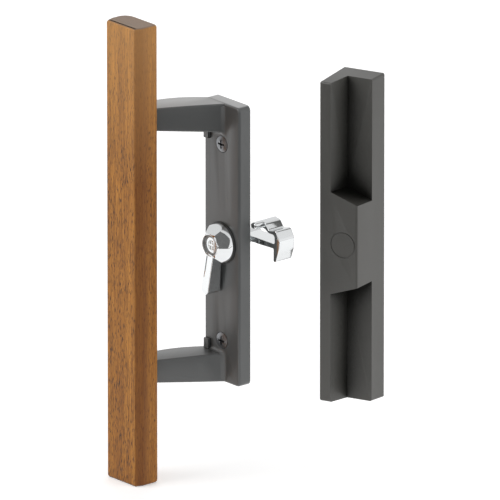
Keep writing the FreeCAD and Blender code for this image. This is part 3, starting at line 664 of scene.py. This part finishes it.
class PATIO_OT_castings(bpy.types.Operator):
    """Give the bracket and the outside pull their enamel"""
    bl_idname = "patio.castings"
    bl_label = "Castings"

    def execute(self, context):
        values = context.scene.patio_castings
        enamel = cast_paint("baked_satin_enamel", values.colour, values.colour_dark, values.roughness,
                            hollow_mm=0.3, gloss_most=0.6, painted_top_light=0.6)
        pull_enamel = cast_paint("baked_bronze_enamel", values.pull_colour, values.pull_dark,
                                 values.roughness + 0.05, hollow_mm=30, gloss_most=0.5, painted_top_light=0.0)
        cast_copy("bracket", "bracket_casting", enamel, values.bracket_edge)
        cast_copy("outside_pull", "pull_casting", pull_enamel, values.pull_edge)
        return {"FINISHED"}


class PATIO_OT_grip(bpy.types.Operator):
    """Give the wooden grip its grain"""
    bl_idname = "patio.grip"
    bl_label = "Wooden grip"

    def execute(self, context):
        shell_piece("grip_hardwood", [grip_shell()], oiled_hardwood(), "grip_bar")
        return {"FINISHED"}


class PATIO_OT_lock(bpy.types.Operator):
    """Give the thumb turn and the latch hook their plating"""
    bl_idname = "patio.lock"
    bl_label = "Lock parts"

    def execute(self, context):
        values = context.scene.patio_lock
        plate = chrome_plate(values.chrome)
        shell_piece("thumb_turn_casting", [knob_shell(), lever_shell()], plate, "thumb_turn")
        shell_piece("latch_hook_casting", hook_shells(), plate, "latch_hook")
        dress("turn_bushing", moulded_nylon())
        # Painted shade: a dull grey ring in the knob's well stands for the dark gap round the screw head.
        shell_piece("turn_screw_gap_shade", [gap_shade_ring_shell()], steel("gap_shade_steel", values.washer, 0.45),
                    None)
        return {"FINISHED"}


class PATIO_OT_fasteners(bpy.types.Operator):
    """Give the screws, bolts and washer their plating"""
    bl_idname = "patio.fasteners"
    bl_label = "Fasteners"

    def execute(self, context):
        values = context.scene.patio_fasteners
        grey = steel("grey_zinc_steel", values.grey, 0.34)
        bright = steel("bright_zinc_steel", values.bright, 0.22)
        for name in ("through_bolt_upper", "through_bolt_lower", "grip_screw_upper", "grip_screw_lower"):
            dress(name, grey)
        for name in ("spring_washer", "turn_screw"):
            dress(name, bright)
        return {"FINISHED"}


class PATIO_OT_stage(bpy.types.Operator):
    """Make the floor, the lamps and the camera"""
    bl_idname = "patio.stage"
    bl_label = "Stage"

    def execute(self, context):
        values = context.scene.patio_stage
        turn, rise = values.azimuth, values.elevation
        back = Vector((math.sin(turn) * math.cos(rise), -math.cos(turn) * math.cos(rise), math.sin(rise)))
        right = Vector((math.cos(turn), math.sin(turn), 0))
        up = back.cross(right)
        plate_front = Vector((0, -PLATE_FRONT * MM, 0))
        target = plate_front + right * values.shift_right - up * values.shift_down
        camera = bpy.data.objects.new("Camera", bpy.data.cameras.new("Camera"))
        camera.data.lens = camera.data.sensor_width * values.distance / values.frame_width
        camera.data.clip_start = 0.1
        camera.data.clip_end = 100
        camera.matrix_world = Matrix.Translation(target + back * values.distance) @ Matrix(
            (right, up, back)).transposed().to_4x4()
        context.scene.collection.objects.link(camera)
        context.scene.camera = camera

        low, reach = cad_low.z, 40.0
        flat_sheet("floor", Vector((0, 0, low)), Vector((reach, 0, 0)), Vector((0, reach, 0)), studio_floor())
        # Two matt grey cards give the castings and the plating something dark to reflect.
        flag_at = Vector((0.80, -0.49, 0.33)) * 1.2
        flag_side = Vector((-flag_at.y, flag_at.x, 0)).normalized()
        paper = grey_card()
        cards = (flat_sheet("floor_card", Vector((0.58, -0.52, low + 2 * MM)), Vector((0.5, 0.5, 0)),
                            Vector((0.4, -0.4, 0)), paper),
                 flat_sheet("flag_card", flag_at, flag_side * 0.24,
                            flag_at.cross(flag_side).normalized() * 0.3, paper))
        for card in cards:
            card.visible_camera = card.visible_diffuse = card.visible_shadow = False
            card.visible_transmission = card.visible_volume_scatter = False

        world = bpy.data.worlds.new("studio")
        world.use_nodes = True
        tree = world.node_tree
        tree.nodes.clear()
        white_seen, glossy = background_rays(tree)
        level = add_node(tree, "ShaderNodeMapRange", {"Value": white_seen, "To Min": values.sky,
                                                      "To Max": 1.0})
        # Polished faces see the walls grow a little dimmer towards the ceiling.
        direction = add_node(tree, "ShaderNodeTexCoord").outputs["Generated"]
        aim = add_node(tree, "ShaderNodeSeparateXYZ", {0: direction})
        dim = add_node(tree, "ShaderNodeMapRange", {"Value": aim.outputs["Z"], "From Min": 0.15,
                                                    "From Max": 0.9, "To Max": 0.3})
        held = add_node(tree, "ShaderNodeMath", {0: dim.outputs[0], 1: glossy}, operation="MULTIPLY")
        shade = add_node(tree, "ShaderNodeMath", {0: level.outputs[0], 1: held.outputs[0]},
                         operation="SUBTRACT")
        sky = add_node(tree, "ShaderNodeBackground", {"Color": (1, 1, 1, 1), "Strength": shade.outputs[0]})
        output = add_node(tree, "ShaderNodeOutputWorld", {"Surface": sky.outputs[0]})
        output.is_active_output = True
        context.scene.world = world

        for name, place, width, power in (("key", (-0.5, -1.0, 0.9), 0.9, values.key),
                                          ("fill", (1.2, 0.5, 0.5), 1.0, values.key * 0.7),
                                          ("rim", (-0.75, 0.75, 0.85), 0.9, values.key * 0.5)):
            lamp = bpy.data.objects.new(name, bpy.data.lights.new(name, "AREA"))
            lamp.data.size = width
            lamp.data.energy = power
            lamp.location = place
            lamp.rotation_mode = "QUATERNION"
            lamp.rotation_quaternion = Vector(place).to_track_quat("Z", "Y")
            lamp.visible_glossy = name == "key"
            context.scene.collection.objects.link(lamp)

        context.scene.view_settings.view_transform = "Standard"
        return {"FINISHED"}


class PATIO_PT_panel(bpy.types.Panel):
    """Sizes, colours and builders of the patio handle"""
    bl_idname = "PATIO_PT_panel"
    bl_label = "Patio Handle"
    bl_space_type = "VIEW_3D"
    bl_region_type = "UI"
    bl_category = "Patio Handle"

    def draw(self, context):
        for owner in GROUPS:
            group = getattr(context.scene, owner)
            box = self.layout.box()
            for name in group.bl_rna.properties.keys():
                if name not in ("rna_type", "name"):
                    box.prop(group, name)
        for operator in OPERATORS:
            self.layout.operator(operator.bl_idname)


OPERATORS = (PATIO_OT_castings, PATIO_OT_grip, PATIO_OT_lock, PATIO_OT_fasteners, PATIO_OT_stage)
GROUPS = {"patio_castings": PatioCastingSettings, "patio_grip": PatioGripSettings,
          "patio_lock": PatioLockSettings, "patio_fasteners": PatioFastenerSettings,
          "patio_stage": PatioStageSettings}


def register():
    for owner, group in GROUPS.items():
        bpy.utils.register_class(group)
        setattr(bpy.types.Scene, owner, PointerProperty(type=group))
    for item in (*OPERATORS, PATIO_PT_panel):
        bpy.utils.register_class(item)


def unregister():
    for item in reversed((*OPERATORS, PATIO_PT_panel)):
        bpy.utils.unregister_class(item)
    for owner, group in GROUPS.items():
        delattr(bpy.types.Scene, owner)
        bpy.utils.unregister_class(group)


def main():
    register()
    for operator in OPERATORS:
        getattr(bpy.ops.patio, operator.bl_idname.split(".")[1])()


if __name__ == "__main__":
    main()
